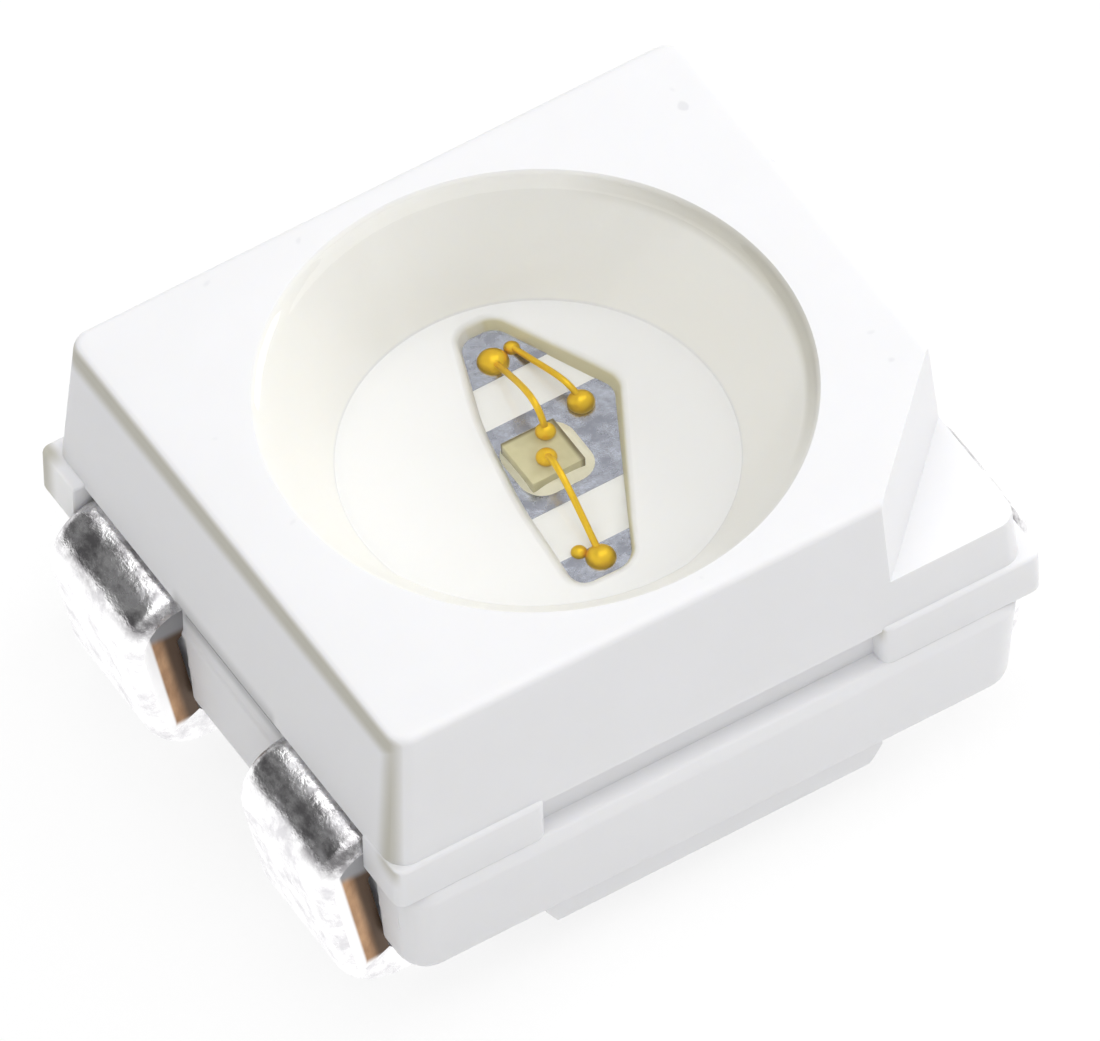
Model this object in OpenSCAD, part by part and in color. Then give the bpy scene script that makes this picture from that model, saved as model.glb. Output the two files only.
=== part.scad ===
// SMD LED, four-lead top-view package with a clear-filled reflector cup, in millimetres.
// Origin under the middle of the package on the solder plane, X along the length, Y across, Z up.
// The cut corner that marks the polarity is at +X, -Y.

/* [Package] */
// Length of the moulded body over its corner ears
body_length = 3.2; // [3.1:0.01:3.3]
// Width of the moulded body at its widest
body_width = 2.8; // [2.7:0.01:2.9]
// Height from the solder plane to the top face
package_height = 1.8; // [1.7:0.01:1.9]
// Length over the bent leads
lead_span = 3.5; // [3.44:0.01:3.6]
// Draft of the moulded side faces in degrees
draft = 4; // [2:0.5:6]
// Gap under the moulded centre foot
foot_gap = 0.1; // [0.05:0.01:0.16]

/* [Cup] */
// Diameter of the reflector cup at the top face
cup_rim_diameter = 2.36; // [2.2:0.01:2.4]
// Diameter of the reflector cup floor
cup_floor_diameter = 1.7; // [1.62:0.01:1.8]
// Thickness of the cup floor above the lead frame
cup_floor_thickness = 0.08; // [0.05:0.01:0.12]
// Depth of the flat resin surface below the top face
resin_drop = 0.035; // [0.02:0.005:0.06]

/* [Polarity corner] */
// Leg of the cut corner on the top face
corner_cut = 0.62; // [0.5:0.01:0.68]
// Depth of the cut corner below the top face
corner_cut_depth = 0.48; // [0.3:0.01:0.6]

/* [Leads] */
// Height of the upper face of the lead frame
lead_plane_height = 1.0; // [0.96:0.01:1.04]
// Distance between the centres of the two leads on a side
lead_pitch = 1.5; // [1.46:0.01:1.54]
// Width of a lead
lead_width = 0.7; // [0.62:0.01:0.72]
// Thickness of the lead frame
lead_thickness = 0.22; // [0.18:0.01:0.24]
// Lean of the lead legs towards the body in degrees
lead_lean = 10; // [5:1:12]
// Length of a lead's solder foot inward from the end of its bend
lead_foot_run = 0.42; // [0.3:0.01:0.46]

/* [Chip and wires] */
// Side of the square chip
chip_side = 0.26; // [0.22:0.01:0.27]
// Height of the chip
chip_height = 0.1; // [0.08:0.01:0.12]
// Diameter of the bond wires
wire_diameter = 0.03; // [0.02:0.005:0.035]

/* [Hidden] */
$fn = 96;

// Levels of the housing, measured from the lead plane
ledge_drop = 0.15;
shoulder_height = 0.05;
shoulder_set_in = 0.03;
slot_rise = 0.05;
ear_rise = 0.07;
ear_sink = 0.01;
slot_low = lead_plane_height - ledge_drop;
slot_high = lead_plane_height + slot_rise;
shoulder = slot_low - shoulder_height;
ear_low = slot_low - ear_sink;
ear_high = lead_plane_height + ear_rise;
lead_low = lead_plane_height - lead_thickness;
end_underside = lead_thickness + 0.05;

// Half sizes of the housing
ear_half_length = body_length / 2;
ear_half_width = body_width / 2 - 0.025;
upper_half_length = body_length / 2 - 0.06;
upper_half_width = body_width / 2 - 0.05;
lower_half_length = body_length / 2 - 0.09;
lower_half_width = body_width / 2;
core_half_length = upper_half_length - 0.01;
core_half_width = upper_half_width - 0.1;
slot_half_length = 0.82;
foot_half_length = 0.74;
foot_flare = 0.08;
upper_corner = 0.12;
lower_corner = 0.14;
ear_edge = 0.05;
edge_break = 0.03;
bottom_round = 0.09;

// Cup and window
cup_floor = lead_plane_height + cup_floor_thickness;
rim_break = 0.02;
window_flare = 0.03;
window_outline = [[-0.22, -0.73, 0.1], [0.03, -0.73, 0.11], [0.53, 0.19, 0.08],
    [0.25, 0.77, 0.1], [0.06, 0.77, 0.1], [-0.11, 0.32, 0.5], [-0.205, -0.15, 0.5]];
resin_top = package_height - resin_drop;
meniscus = 0.06;

// Bends of the leads
first_bend = 0.03;
second_bend = 0.06;
roll_over = 0.08;
leg_clearance = 0.03;
stub = 0.15;
first_x = lead_span / 2 - first_bend - lead_thickness;
first_z = lead_low - first_bend;
outer_first = first_bend + lead_thickness;
outer_second = second_bend + lead_thickness;
leg_length = (first_z - outer_first * sin(lead_lean) - outer_second * (1 - sin(lead_lean)))
    / cos(lead_lean);

// Flat pattern of the lead frame
lead_near = lead_pitch / 2 - lead_width / 2;
lead_far = lead_pitch / 2 + lead_width / 2;
punch_gap = 0.22;
pad_low = -0.23;
pad_high = 0.27;
pad_reach = 1.05;
pad_neck = 0.78;

// Chip, glue and bonds
chip_x = 0.03;
chip_y = 0.01;
glue_under = 0.008;
glue_rise = 0.045;
glue_reach = 0.045;
glue_shift = 0.02;
glue_round = 0.09;
chip_top = lead_plane_height + glue_under + chip_height;
ball_radius = 0.043;
ball_lift = 0.022;
bump_radius = 0.056;
tail_radius = 0.042;
back_ball_inset = 0.055;
back_ball_side = 0.07;
front_ball_inset = 0.085;
front_ball_side = 0.01;
back_bond_side = 0.135;
front_bond_side = 0.042;
pad_bond_side = 0.325;
link_bond_side = 0.243;
bond_inset = 0.085;
tail_inset = 0.08;
front_bond_inset = 0.11;
back_arch = 0.16;
front_arch = 0.14;
link_arch = 0.09;
back_ball = [chip_x + chip_side / 2 - back_ball_side, chip_y + chip_side / 2 - back_ball_inset, chip_top];
front_ball = [chip_x - front_ball_side, chip_y - chip_side / 2 + front_ball_inset, chip_top];
back_bond = [back_bond_side, pad_high + punch_gap + bond_inset, lead_plane_height];
front_bond = [-front_bond_side, pad_low - punch_gap - front_bond_inset, lead_plane_height];
pad_bond = [pad_bond_side, pad_high - bond_inset, lead_plane_height];
link_bond = [link_bond_side, pad_high + punch_gap + tail_inset, lead_plane_height];

// Points of an arc from one angle to another
function arc(x, y, r, from, to, steps = 6) =
    [for (i = [0 : steps]) let (a = from + (to - from) * i / steps) [x + r * cos(a), y + r * sin(a)]];

// Outline with rounded corners, set in by a distance; corners run anticlockwise as [x, y, radius]
function unit(v) = v / norm(v);
function side(c, i) = let (n = len(c), a = c[i % n], b = c[(i + 1) % n]) unit([b[0] - a[0], b[1] - a[1]]);
function inward(d) = [-d[1], d[0]];
function meet(p, d, q, e) = p + d * ((q[0] - p[0]) * e[1] - (q[1] - p[1]) * e[0]) / (d[0] * e[1] - d[1] * e[0]);
function set_in(c, i, gap) = let (n = len(c), d = side(c, i + n - 1), e = side(c, i), p = [c[i][0], c[i][1]])
    meet(p + inward(d) * gap, d, p + inward(e) * gap, e);
function rounded(c, gap) = [for (i = [0 : len(c) - 1])
    let (n = len(c), d = side(c, i + n - 1), e = side(c, i), r = max(c[i][2] - gap, 0.01),
        turn = acos(d * e), p = set_in(c, i, gap), m = p - d * r * tan(turn / 2) + inward(d) * r,
        start = atan2(-inward(d)[1], -inward(d)[0]))
    for (k = [0 : 6]) [m[0] + r * cos(start + turn * k / 6), m[1] + r * sin(start + turn * k / 6)]];

// Block with rounded corners, its side given as points [distance out from the corner centres, height]
module moulded_block(cx, cy, outline) {
    n = len(outline);
    back = [for (i = [n - 1 : -1 : 0]) outline[i]];
    rim = concat([[0, outline[0][1]]], outline, [[0, outline[n - 1][1]]]);
    rotate([90, 0, 0])
        linear_extrude(2 * cy, center = true)
            polygon(concat([for (p = outline) [cx + p[0], p[1]]], [for (p = back) [-cx - p[0], p[1]]]));
    for (turn = [0, 180])
        rotate([0, 0, turn])
            translate([0, cy, 0])
                rotate([90, 0, 90])
                    linear_extrude(2 * cx, center = true)
                        polygon(rim);
    for (x = [0, 1], y = [0, 1])
        mirror([x, 0, 0])
            mirror([0, y, 0])
                translate([cx, cy, 0])
                    rotate_extrude(angle = 90)
                        polygon(rim);
}

module upper_body() {
    top_reach = upper_corner - (package_height - edge_break - ear_high) * tan(draft);
    moulded_block(upper_half_length - upper_corner, upper_half_width - upper_corner,
        concat([[upper_corner + (ear_high - slot_high) * tan(draft), slot_high]],
            arc(top_reach - edge_break, package_height - edge_break, edge_break, 0, 90, 4)));
}

module lower_body() {
    low_reach = lower_corner - (shoulder - end_underside - bottom_round) * tan(draft);
    moulded_block(lower_half_length - lower_corner, lower_half_width - lower_corner,
        concat(arc(low_reach - bottom_round, end_underside + bottom_round, bottom_round, -90, 0),
            [[lower_corner, shoulder], [lower_corner - shoulder_set_in, slot_low]]));
}

module centre_foot() {
    half = lower_half_width - (shoulder - foot_gap) * tan(draft);
    round = 0.07;
    rise = end_underside + bottom_round;
    intersection() {
        rotate([90, 0, 90])
            linear_extrude(2 * (foot_half_length + foot_flare), center = true)
                polygon(concat([[-half - (rise - foot_gap) * tan(draft), rise]],
                    arc(-half + round, foot_gap + round, round, 180, 270),
                    arc(half - round, foot_gap + round, round, 270, 360),
                    [[half + (rise - foot_gap) * tan(draft), rise]]));
        rotate([90, 0, 0])
            linear_extrude(body_width, center = true)
                polygon([[-foot_half_length, foot_gap], [foot_half_length, foot_gap],
                    [foot_half_length + foot_flare, end_underside], [foot_half_length + foot_flare, rise],
                    [-foot_half_length - foot_flare, rise], [-foot_half_length - foot_flare, end_underside]]);
    }
}

// Ear bars level with the lead frame, from the end slots to the corner nubs
module ears() {
    for (x = [-1, 1], y = [-1, 1])
        translate([x * (slot_half_length + ear_half_length) / 2, y * (core_half_width + ear_half_width) / 2, ear_low])
            linear_extrude(ear_high - ear_low)
                rounded_bar(ear_half_length - slot_half_length, ear_half_width - core_half_width, ear_edge);
}

module rounded_bar(length, width, r) {
    square([length - 2 * r, width], center = true);
    square([length, width - 2 * r], center = true);
    for (x = [-1, 1], y = [-1, 1])
        translate([x * (length / 2 - r), y * (width / 2 - r)])
            circle(r);
}

module core() {
    translate([-core_half_length, -core_half_width, shoulder - 0.1])
        cube([2 * core_half_length, 2 * core_half_width, ear_high - shoulder + 0.2]);
}

// Corner cut away on the upper body, its wall drafted like the sides
module polarity_cut() {
    top_length = upper_half_length - (package_height - ear_high) * tan(draft);
    top_width = upper_half_width - (package_height - ear_high) * tan(draft);
    middle = [top_length - corner_cut / 2, -top_width + corner_cut / 2];
    intersection() {
        translate([middle[0], middle[1], package_height])
            rotate([0, 0, -45])
                rotate([0, -draft, 0])
                    translate([0, -1, -1])
                        cube([1, 2, 2]);
        translate([0, -2, package_height - corner_cut_depth])
            cube([2, 2, 1]);
    }
}

module cup_space(floor_level, slack) {
    floor_r = cup_floor_diameter / 2;
    rim_r = cup_rim_diameter / 2;
    slope = (rim_r - rim_break - floor_r) / (package_height - rim_break - floor_level);
    rotate_extrude()
        polygon([[0, floor_level], [floor_r, floor_level], [rim_r - rim_break, package_height - rim_break],
            [rim_r + slack, package_height + slack], [0, package_height + slack]]);
}

// Window in the cup floor, narrower at the lead frame than at the floor
module window_space(extra) {
    top = rounded(window_outline, 0);
    low = rounded(window_outline, window_flare);
    n = len(top);
    height = cup_floor_thickness;
    spread = 1 + extra / height;
    upper = [for (i = [0 : n - 1]) low[i] + (top[i] - low[i]) * spread];
    points = concat([for (p = low) [p[0], p[1], lead_plane_height]],
        [for (p = upper) [p[0], p[1], cup_floor + extra]]);
    sides = [for (i = [0 : n - 1]) [i, n + i, n + (i + 1) % n, (i + 1) % n]];
    polyhedron(points, concat([[for (i = [0 : n - 1]) i]], [[for (i = [n - 1 : -1 : 0]) n + i]], sides));
}

module leg_pockets() {
    reach = leg_clearance / cos(lead_lean);
    side_gap = 0.03;
    top_x = first_x + first_bend - reach;
    low_x = top_x - lead_low * tan(lead_lean);
    for (x = [-1, 1], y = [-1, 1])
        mirror([x < 0 ? 1 : 0, 0, 0])
            translate([0, y * lead_pitch / 2, 0])
                rotate([90, 0, 0])
                    linear_extrude(lead_width + 2 * side_gap, center = true)
                        polygon([[top_x, lead_low], [low_x, -0.1], [2, -0.1], [2, lead_low]]);
}

// Cross-section of a bent lead, its outer edges rolled over by the punch
module lead_section(inner) {
    translate([inner, -lead_width / 2])
        square([lead_thickness - roll_over, lead_width]);
    translate([inner, -lead_width / 2 + roll_over])
        square([lead_thickness, lead_width - 2 * roll_over]);
    for (y = [-1, 1])
        translate([inner + lead_thickness - roll_over, y * (lead_width / 2 - roll_over)])
            circle(roll_over);
}

// Leg that leaves the body, turns down, leans in and folds under, for the +X side
module bent_leg() {
    translate([first_x, 0, first_z])
        rotate([90, 0, 0]) {
            rotate([0, 0, 90])
                rotate([-90, 0, 0])
                    linear_extrude(stub)
                        lead_section(first_bend);
            rotate([0, 0, -lead_lean]) {
                rotate_extrude(angle = 90 + lead_lean)
                    lead_section(first_bend);
                rotate([90, 0, 0])
                    linear_extrude(leg_length)
                        lead_section(first_bend);
                translate([first_bend - second_bend, -leg_length, 0])
                    rotate([0, 0, lead_lean - 90]) {
                        rotate_extrude(angle = 90 - lead_lean)
                            lead_section(second_bend);
                        rotate([90, 0, 0])
                            linear_extrude(lead_foot_run)
                                lead_section(second_bend);
                    }
            }
        }
}

module leg(x, y) {
    translate([0, y * lead_pitch / 2, 0])
        mirror([x < 0 ? 1 : 0, 0, 0])
            bent_leg();
}

// Flat part of a single-wire lead, drawn for the -X, +Y corner
module wire_pad_flat() {
    translate([0, 0, lead_low])
        linear_extrude(lead_thickness)
            polygon([[-first_x, lead_near], [-pad_reach - punch_gap, lead_near],
                [-pad_reach - punch_gap, pad_high + punch_gap], [pad_neck - punch_gap, pad_high + punch_gap],
                [pad_neck - punch_gap, lead_far], [-first_x, lead_far]]);
}

module chip_pad_flat() {
    translate([0, 0, lead_low])
        linear_extrude(lead_thickness)
            polygon([[-first_x, -lead_far], [-pad_neck, -lead_far], [-pad_neck, pad_low],
                [pad_reach, pad_low], [pad_reach, lead_near], [first_x, lead_near], [first_x, lead_far],
                [pad_neck, lead_far], [pad_neck, pad_high], [-pad_reach, pad_high],
                [-pad_reach, -lead_near], [-first_x, -lead_near]]);
}

// Bond wire: a ball or bump at each end and one arched wire between them, in a level-to-level plane
module bond_wire(start, end, arch, start_radius, start_lift, end_radius) {
    low = start + [0, 0, start_lift];
    high = end + [0, 0, wire_diameter];
    flat = norm([high[0] - low[0], high[1] - low[1]]);
    fall = high[2] - low[2];
    chord = norm([flat, fall]);
    radius = (chord * chord / 4 + arch * arch) / (2 * arch);
    half_turn = asin(chord / 2 / radius);
    end_cap(start, start_radius, start_lift);
    end_cap(end, end_radius, 0);
    translate(low)
        rotate([0, 0, atan2(high[1] - low[1], high[0] - low[0])])
            rotate([90, 0, 0])
                rotate([0, 0, atan2(fall, flat)])
                    translate([chord / 2, arch - radius, 0])
                        rotate([0, 0, 90 - half_turn])
                            rotate_extrude(angle = 2 * half_turn, $fn = 160)
                                translate([radius, 0])
                                    circle(d = wire_diameter, $fn = 24);
}

// Ball cut flat where it sits on the chip or the lead
module end_cap(at, radius, lift) {
    intersection() {
        translate(at + [0, 0, lift])
            sphere(radius, $fn = 32);
        translate(at - [0.2, 0.2, 0])
            cube([0.4, 0.4, 0.4]);
    }
}

module housing() {
    color("white")
        difference() {
            union() {
                upper_body();
                core();
                ears();
                lower_body();
                centre_foot();
            }
            polarity_cut();
            cup_space(cup_floor, 0.1);
            window_space(0.04);
            leg_pockets();
            lead_back_left();
            lead_front_right();
            lead_chip_pad();
        }
}

module encapsulant() {
    floor_r = cup_floor_diameter / 2;
    rim_r = cup_rim_diameter / 2 - rim_break;
    slope = (rim_r - floor_r) / (package_height - rim_break - cup_floor);
    edge_z = resin_top + 0.02;
    edge_r = floor_r + (edge_z - cup_floor) * slope;
    bowl = (meniscus * meniscus + 0.02 * 0.02) / (2 * 0.02);
    color("whitesmoke", 0.4)
        difference() {
            union() {
                rotate_extrude()
                    polygon(concat([[0, cup_floor], [floor_r, cup_floor]],
                        [for (i = [5 : -1 : 0]) let (x = meniscus * i / 5)
                            [edge_r - meniscus + x, resin_top + bowl - sqrt(bowl * bowl - x * x)]],
                        [[0, resin_top]]));
                window_space(0);
            }
            led_chip();
            chip_glue();
            bond_wire_back();
            bond_wire_front();
            bond_wire_link();
        }
}

module lead_back_left() {
    color("silver") {
        wire_pad_flat();
        leg(-1, 1);
    }
}

module lead_front_right() {
    color("silver") {
        rotate([0, 0, 180])
            wire_pad_flat();
        leg(1, -1);
    }
}

module lead_chip_pad() {
    color("silver") {
        chip_pad_flat();
        leg(-1, -1);
        leg(1, 1);
    }
}

module led_chip() {
    color("lightyellow")
        translate([chip_x - chip_side / 2, chip_y - chip_side / 2, lead_plane_height + glue_under])
            cube([chip_side, chip_side, chip_height]);
}

module chip_glue() {
    spread = chip_side / 2 + glue_reach - glue_round;
    color("khaki")
        difference() {
            translate([chip_x + glue_shift, chip_y, 0])
                moulded_block(spread, spread, [[glue_round, lead_plane_height],
                    [glue_round - 0.015, lead_plane_height + 0.012],
                    [glue_round - 0.04, lead_plane_height + glue_rise]]);
            led_chip();
        }
}

module bond_wire_back() {
    color("gold")
        bond_wire(back_ball, back_bond, back_arch, ball_radius, ball_lift, bump_radius);
}

module bond_wire_front() {
    color("gold")
        bond_wire(front_ball, front_bond, front_arch, ball_radius, ball_lift, bump_radius);
}

module bond_wire_link() {
    color("gold")
        bond_wire(pad_bond, link_bond, link_arch, bump_radius, ball_lift, tail_radius);
}

housing();
encapsulant();
lead_back_left();
lead_front_right();
lead_chip_pad();
led_chip();
chip_glue();
bond_wire_back();
bond_wire_front();
bond_wire_link();
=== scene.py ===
# Looks of the surface-mount LED: white moulded housing, clear resin, plated leads, wired chip.
import math

import bmesh
import bpy
from mathutils import Matrix, Vector


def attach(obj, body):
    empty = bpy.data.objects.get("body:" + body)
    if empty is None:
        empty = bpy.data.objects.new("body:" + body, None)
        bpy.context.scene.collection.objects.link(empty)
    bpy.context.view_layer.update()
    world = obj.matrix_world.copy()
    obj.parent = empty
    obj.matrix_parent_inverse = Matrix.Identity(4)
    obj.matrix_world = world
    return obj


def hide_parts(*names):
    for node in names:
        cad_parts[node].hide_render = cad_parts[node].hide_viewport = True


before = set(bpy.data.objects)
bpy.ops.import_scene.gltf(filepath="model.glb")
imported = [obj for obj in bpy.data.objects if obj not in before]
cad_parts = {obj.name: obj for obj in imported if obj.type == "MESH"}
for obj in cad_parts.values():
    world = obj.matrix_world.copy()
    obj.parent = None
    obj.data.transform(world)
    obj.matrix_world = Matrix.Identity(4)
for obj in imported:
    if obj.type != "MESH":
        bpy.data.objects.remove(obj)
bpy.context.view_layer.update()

bl_info = {
    "name": "Surface-mount LED looks",
    "version": (1, 0, 0),
    "blender": (4, 5, 0),
    "location": "View3D > Sidebar > LED",
    "description": "Builds the housing, resin, leads, chip and bond wires of a top-view LED",
    "category": "Object",
}

MM = 0.001

# Levels in millimetres; the underside and the foot lie higher than the solids', as in the photo
TOP = 1.8
LEDGE = 1.32
CHIP_TOP = 1.108
CUP_FLOOR = 1.08
EAR_HIGH = 1.07
UPPER_LOW = 1.05
GLUE_TOP = 1.045
CHIP_LOW = 1.008
LEAD_TOP = 1.0
SHOULDER_TOP = 0.85
EAR_LOW = 0.84
SHOULDER = 0.8
LEAD_LOW = 0.78
UNDERSIDE = 0.3
FOOT_LOW = 0.16

# Half lengths and half widths of the moulding, in millimetres
UPPER_BASE = 1.5414, 1.3514
UPPER_TOP = 1.489, 1.299
CORE = 1.5, 1.285
LOWER_SHELF = 1.48, 1.37
LOWER_TOP = 1.51, 1.4
LOWER_BASE = 1.476, 1.366
FOOT_TOP = 0.82, 1.34
FOOT_SOLE = 0.74, 1.33
EAR_END = 1.6
EAR_SIDE = 1.375
SLOT_END = 0.82

# Cup, window, cut corner and leads, in millimetres and degrees
FLOOR_RADIUS = 0.85
RIM_RADIUS = 1.18
CORNER_CUT = 0.62
LEAD_SPAN = 3.5
LEAD_PITCH = 1.5
LEAD_WIDTH = 0.7
LEAD_LEAN = 10
LEAD_FOOT = 0.42
FIRST_BEND = 0.03
SECOND_BEND = 0.06
WINDOW_MIDDLE = 0.13, 0.02
WINDOW_HALF = 0.35, 0.75
# Corners of the window as x, y and rounding
WINDOW = [
    (-0.25, -0.685, 0.12),
    (0.045, -0.695, 0.14),
    (0.53, 0.19, 0.08),
    (0.25, 0.77, 0.1),
    (0.06, 0.77, 0.1),
    (-0.11, 0.32, 0.2),
    (-0.205, -0.15, 0.2),
]

# The picture in pixels, and where the part's origin falls in it
PICTURE_WIDTH = 1100
PICTURE_HEIGHT = 1041
ORIGIN_U = 546.22
ORIGIN_V = 676.53


class HousingSettings(bpy.types.PropertyGroup):
    corner_radius: bpy.props.FloatProperty(
        name="Corner radius", description="Radius of the upright corners", default=0.1 * MM, unit="LENGTH"
    )
    top_radius: bpy.props.FloatProperty(
        name="Top edge radius", description="Radius of the top edges", default=0.035 * MM, unit="LENGTH"
    )
    edge_break: bpy.props.FloatProperty(
        name="Edge break", description="Rounding left on every other moulded edge",
        default=0.012 * MM, unit="LENGTH"
    )
    white: bpy.props.FloatVectorProperty(
        name="White", description="Colour of the moulding",
        default=(0.86, 0.86, 0.875), size=3, subtype="COLOR"
    )
    cup_wall: bpy.props.FloatVectorProperty(
        name="Cup wall", description="Tone of the cup wall under the resin",
        default=(0.91, 0.905, 0.87), size=3, subtype="COLOR"
    )
    cup_floor: bpy.props.FloatVectorProperty(
        name="Cup floor", description="Tone of the cup floor under the resin",
        default=(0.83, 0.83, 0.83), size=3, subtype="COLOR"
    )
    # Cream is the corner nub's tone, and also the painted shade along the left end face's top and front edges
    cream: bpy.props.FloatVectorProperty(
        name="Cream", description="Tone of the thin, translucent edges",
        default=(0.5, 0.48, 0.4), size=3, subtype="COLOR"
    )


class ResinSettings(bpy.types.PropertyGroup):
    ior: bpy.props.FloatProperty(
        name="Refractive index", description="Refractive index of the resin", default=1.42
    )
    overlap: bpy.props.FloatProperty(
        name="Overlap", description="How far the resin wets into the wall",
        default=0.004 * MM, unit="LENGTH"
    )


class LeadSettings(bpy.types.PropertyGroup):
    roll_over: bpy.props.FloatProperty(
        name="Roll-over", description="Radius the punch leaves on the outer edges",
        default=0.08 * MM, unit="LENGTH"
    )
    silver: bpy.props.FloatVectorProperty(
        name="Silver", description="Colour of the plating",
        default=(0.93, 0.925, 0.93), size=3, subtype="COLOR"
    )
    copper: bpy.props.FloatVectorProperty(
        name="Copper", description="Colour of the bare cut edges",
        default=(0.62, 0.37, 0.2), size=3, subtype="COLOR"
    )


class ChipSettings(bpy.types.PropertyGroup):
    gold: bpy.props.FloatVectorProperty(
        name="Gold", description="Colour of the bond wires",
        default=(0.86, 0.58, 0.022), size=3, subtype="COLOR"
    )
    glue: bpy.props.FloatVectorProperty(
        name="Glue", description="Colour of the chip glue",
        default=(0.95, 0.92, 0.74), size=3, subtype="COLOR"
    )


class StageSettings(bpy.types.PropertyGroup):
    azimuth: bpy.props.FloatProperty(
        name="Camera azimuth", description="Camera direction round the part",
        default=math.radians(-30.3), subtype="ANGLE"
    )
    elevation: bpy.props.FloatProperty(
        name="Camera elevation", description="Camera height above the horizon",
        default=math.radians(51.16), subtype="ANGLE"
    )
    roll: bpy.props.FloatProperty(
        name="Camera roll", description="Turn of the camera about its own axis",
        default=math.radians(2.1), subtype="ANGLE"
    )
    frame_width: bpy.props.FloatProperty(
        name="Frame width", description="Width of the picture at the part",
        default=4.5847 * MM, unit="LENGTH"
    )


# Helpers for working in edit mode, all in millimetres until a piece is finished
def rest():
    if bpy.context.object is not None and bpy.context.object.mode != "OBJECT":
        bpy.ops.object.mode_set(mode="OBJECT")
    bpy.ops.object.select_all(action="DESELECT")


def activate(piece):
    rest()
    piece.select_set(True)
    bpy.context.view_layer.objects.active = piece


def edit(piece, mode="FACE"):
    activate(piece)
    bpy.ops.object.mode_set(mode="EDIT")
    bpy.ops.mesh.select_mode(type=mode)
    bpy.ops.mesh.select_all(action="DESELECT")


def pick(piece, kind, test):
    bpy.ops.mesh.select_mode(type={"verts": "VERT", "edges": "EDGE", "faces": "FACE"}[kind])
    bpy.ops.mesh.select_all(action="DESELECT")
    mesh = bmesh.from_edit_mesh(piece.data)
    for part in getattr(mesh, kind):
        if test(part):
            part.select_set(True)
    mesh.select_flush_mode()
    bmesh.update_edit_mesh(piece.data)


def done():
    bpy.ops.object.mode_set(mode="OBJECT")


def block(low, high):
    rest()
    centre = [(a + b) / 2 for a, b in zip(low, high)]
    bpy.ops.mesh.primitive_cube_add(size=1, location=centre)
    piece = bpy.context.object
    piece.scale = [b - a for a, b in zip(low, high)]
    bpy.ops.object.transform_apply(location=True, rotation=True, scale=True)
    return piece


def slab(half, low, high):
    return block((-half[0], -half[1], low), (half[0], half[1], high))


def disc(vertices, radius, height):
    rest()
    bpy.ops.mesh.primitive_circle_add(
        vertices=vertices, radius=radius, fill_type="NGON", location=(0, 0, height)
    )
    bpy.ops.object.transform_apply(location=True, rotation=True, scale=True)
    return bpy.context.object


def at_height(z, slack=0.001):
    def lies_there(part):
        corners = part.verts if hasattr(part, "verts") else [part]
        return all(abs(v.co.z - z) < slack for v in corners)

    return lies_there


def rises(edge):
    return abs(edge.verts[0].co.z - edge.verts[1].co.z) > 0.02


def upright(edge):
    low, high = sorted(v.co.z for v in edge.verts)
    return high - low > 0.1


def resize_at(piece, z, old, new):
    pick(piece, "faces", at_height(z))
    bpy.ops.transform.resize(value=(new[0] / old[0], new[1] / old[1], 1), center_override=(0, 0, z))


def shrink_at(piece, z, centre, factor):
    pick(piece, "faces", at_height(z))
    bpy.ops.transform.resize(value=(factor, factor, 1), center_override=(centre[0], centre[1], z))


def combine(piece, tool, how):
    activate(piece)
    change = piece.modifiers.new("join", "BOOLEAN")
    change.operation = how
    change.solver = "EXACT"
    change.object = tool
    bpy.ops.object.modifier_apply(modifier=change.name)
    bpy.data.objects.remove(tool, do_unlink=True)


def mirrored(piece, axis):
    activate(piece)
    bpy.ops.object.duplicate()
    copy = bpy.context.object
    copy.scale[axis] = -1
    bpy.ops.object.transform_apply(location=True, rotation=True, scale=True)
    edit(copy)
    bpy.ops.mesh.select_all(action="SELECT")
    bpy.ops.mesh.flip_normals()
    done()
    return copy


def join(pieces):
    activate(pieces[0])
    for piece in pieces[1:]:
        piece.select_set(True)
    bpy.context.view_layer.objects.active = pieces[0]
    bpy.ops.object.join()
    return bpy.context.object


def finish_piece(piece, name, nodes, materials, angle=32):
    edit(piece)
    bpy.ops.mesh.select_all(action="SELECT")
    bpy.ops.mesh.remove_doubles(threshold=0.0002)
    bpy.ops.mesh.normals_make_consistent(inside=False)
    done()
    piece.scale = (MM, MM, MM)
    bpy.ops.object.transform_apply(location=True, rotation=True, scale=True)
    bpy.ops.object.shade_smooth_by_angle(angle=math.radians(angle))
    piece.name = name
    piece.data.name = name
    if not piece.data.materials:
        for material in materials:
            piece.data.materials.append(material)
    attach(piece, "root")
    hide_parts(*nodes)
    rest()
    return piece


# Helpers for node materials
def new_material(name):
    material = bpy.data.materials.new(name)
    material.use_nodes = True
    shader = material.node_tree.nodes["Principled BSDF"]
    return material, material.node_tree, shader


def object_noise(tree, per_mm, detail=3.0, roughness=0.55, squash=(1, 1, 1)):
    place = tree.nodes.new("ShaderNodeTexCoord")
    spread = tree.nodes.new("ShaderNodeMapping")
    spread.inputs["Scale"].default_value = [s * per_mm / MM for s in squash]
    noise = tree.nodes.new("ShaderNodeTexNoise")
    noise.inputs["Scale"].default_value = 1.0
    noise.inputs["Detail"].default_value = detail
    noise.inputs["Roughness"].default_value = roughness
    tree.links.new(place.outputs["Object"], spread.inputs["Vector"])
    tree.links.new(spread.outputs["Vector"], noise.inputs["Vector"])
    return noise.outputs["Fac"]


def stretch(tree, value, low, high, out_low=0.0, out_high=1.0):
    node = tree.nodes.new("ShaderNodeMapRange")
    node.inputs["From Min"].default_value = low
    node.inputs["From Max"].default_value = high
    node.inputs["To Min"].default_value = out_low
    node.inputs["To Max"].default_value = out_high
    tree.links.new(value, node.inputs["Value"])
    return node.outputs["Result"]


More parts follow.
